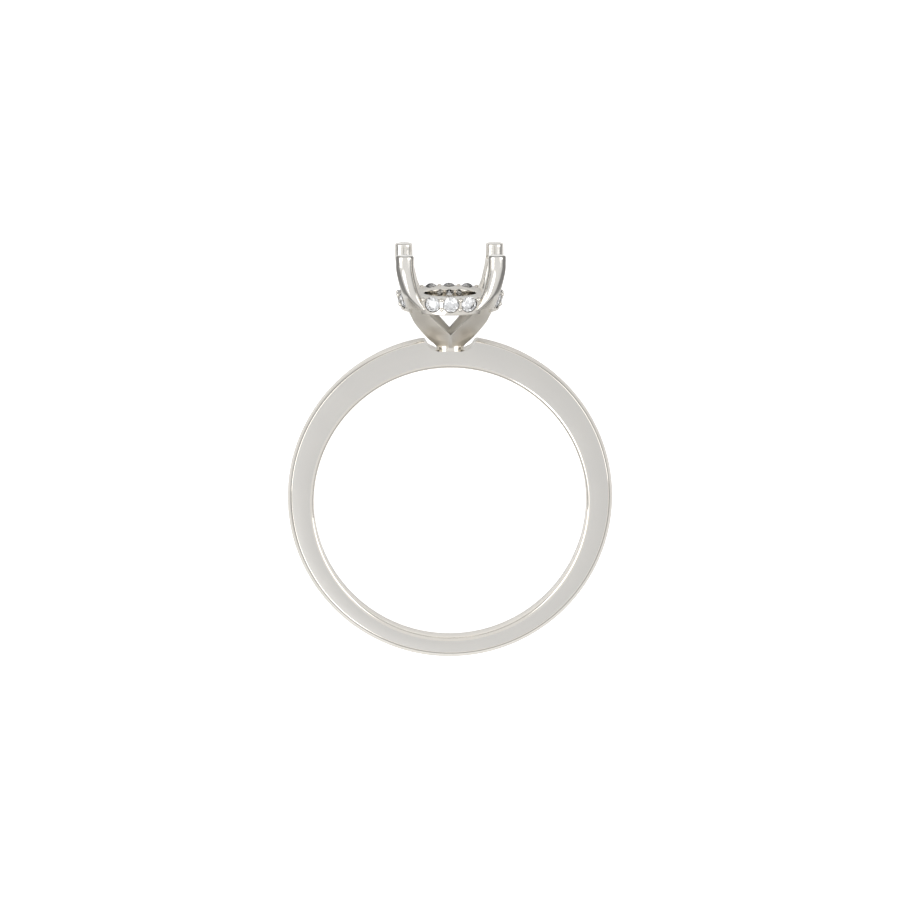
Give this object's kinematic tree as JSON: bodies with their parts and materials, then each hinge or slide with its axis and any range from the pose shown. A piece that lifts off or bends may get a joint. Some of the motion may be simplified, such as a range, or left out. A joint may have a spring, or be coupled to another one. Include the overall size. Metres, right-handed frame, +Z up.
{
  "type": "semi mount ring setting",
  "caption": "Polished white metal ring mount with a tapered domed shank, an open head of slender prongs for a round centre stone and a hidden halo of small round stones.",
  "frame": {"origin": "middle of the ring's box, on the surface that the ring rests on, lying on its side", "axes": "+Z up from that surface, +Y from the back of the shank towards the head, +X across the ring. The ring leans by 6.3 degrees: two small beads of the halo and the back edge of the shank touch the surface, and the finger hole's axis leans as much from +Z"},
  "size_m": [0.0206, 0.0264, 0.0072],
  "materials": {
    "white_gold": "polished",
    "halo_diamond": "faceted and clear"
  },
  "bodies": {
    "root": {"ring_mount": "white_gold", "halo_stone_01": "halo_diamond", "halo_stone_02": "halo_diamond", "halo_stone_03": "halo_diamond", "halo_stone_04": "halo_diamond", "halo_stone_05": "halo_diamond", "halo_stone_06": "halo_diamond", "halo_stone_07": "halo_diamond", "halo_stone_08": "halo_diamond", "halo_stone_09": "halo_diamond", "halo_stone_10": "halo_diamond", "halo_stone_11": "halo_diamond", "halo_stone_12": "halo_diamond"}
  },
  "joints": []
}
